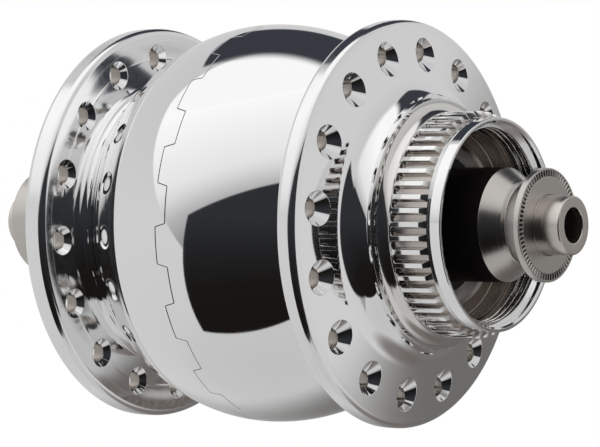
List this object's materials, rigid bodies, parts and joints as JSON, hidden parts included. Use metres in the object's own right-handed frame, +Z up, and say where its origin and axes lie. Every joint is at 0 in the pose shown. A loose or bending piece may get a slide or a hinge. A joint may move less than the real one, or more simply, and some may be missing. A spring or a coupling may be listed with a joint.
{
  "type": "bicycle front hub with dynamo",
  "caption": "Polished bicycle front dynamo hub with high spoke flanges, a ball-shaped castellated barrel, a splined brake boss, a hollow axle and a generator inside.",
  "frame": {"origin": "on the hub axis, midway between the two serrated faces that the fork grips", "axes": "+Y along the hub axis towards the brake side, +Z up, -X towards the plug opening of the connector"},
  "size_m": [0.0638, 0.1088, 0.0638],
  "materials": {
    "polished_aluminium": "mirror polished",
    "stainless_steel": "satin",
    "bearing_steel": "ground",
    "bearing_balls": "polished",
    "stator_iron": "plain",
    "magnet_black": "matte",
    "copper": "enamelled wire",
    "terminal_brass": "plain",
    "bobbin_plastic": "matte",
    "wire_insulation": "matte",
    "black_plastic": "matte",
    "black_steel": "blackened",
    "seal_rubber": "matte"
  },
  "bodies": {
    "axle_assembly": {"axle": "stainless_steel", "stator_key": "stator_iron", "stator_core": "stator_iron", "left_claw_pole": "stator_iron", "right_claw_pole": "stator_iron", "coil_bobbin": "bobbin_plastic", "coil_winding": "copper", "left_stator_nut": "stainless_steel", "right_stator_nut": "stainless_steel", "lead_wires": "wire_insulation", "left_inner_race": "bearing_steel", "right_inner_race": "bearing_steel", "left_spacer_sleeve": "black_steel", "left_dust_cap": "stainless_steel", "connector_housing": "black_plastic", "connector_terminals": "terminal_brass", "left_end_cap": "stainless_steel", "right_spacer_sleeve": "black_steel", "right_end_cap": "stainless_steel"},
    "hub_shell": {"left_shell": "polished_aluminium", "right_shell": "polished_aluminium", "shell_joint_ring": "seal_rubber", "flux_ring": "stator_iron", "rotor_magnets": "magnet_black", "left_outer_race": "bearing_steel", "right_outer_race": "bearing_steel", "left_bearing_seals": "seal_rubber", "right_bearing_seals": "seal_rubber", "preload_wave_spring": "stainless_steel"},
    "left_ball_set": {"left_bearing_cage": "black_plastic", "left_bearing_balls": "bearing_balls"},
    "right_ball_set": {"right_bearing_cage": "black_plastic", "right_bearing_balls": "bearing_balls"}
  },
  "joints": [
    {"name": "hub_spin", "type": "hinge", "parent": "axle_assembly", "child": "hub_shell", "pos_m": [0, 0, 0], "axis": [0, 1, 0], "continuous": true},
    {"name": "left_ball_set_spin", "type": "hinge", "parent": "axle_assembly", "child": "left_ball_set", "pos_m": [0, -0.0288, 0], "axis": [0, 1, 0], "continuous": true},
    {"name": "right_ball_set_spin", "type": "hinge", "parent": "axle_assembly", "child": "right_ball_set", "pos_m": [0, 0.0272, 0], "axis": [0, 1, 0], "continuous": true}
  ],
  "couplings": [
    {"joint": "left_ball_set_spin", "follows": "hub_spin", "ratio": 0.6306},
    {"joint": "right_ball_set_spin", "follows": "hub_spin", "ratio": 0.6306}
  ]
}
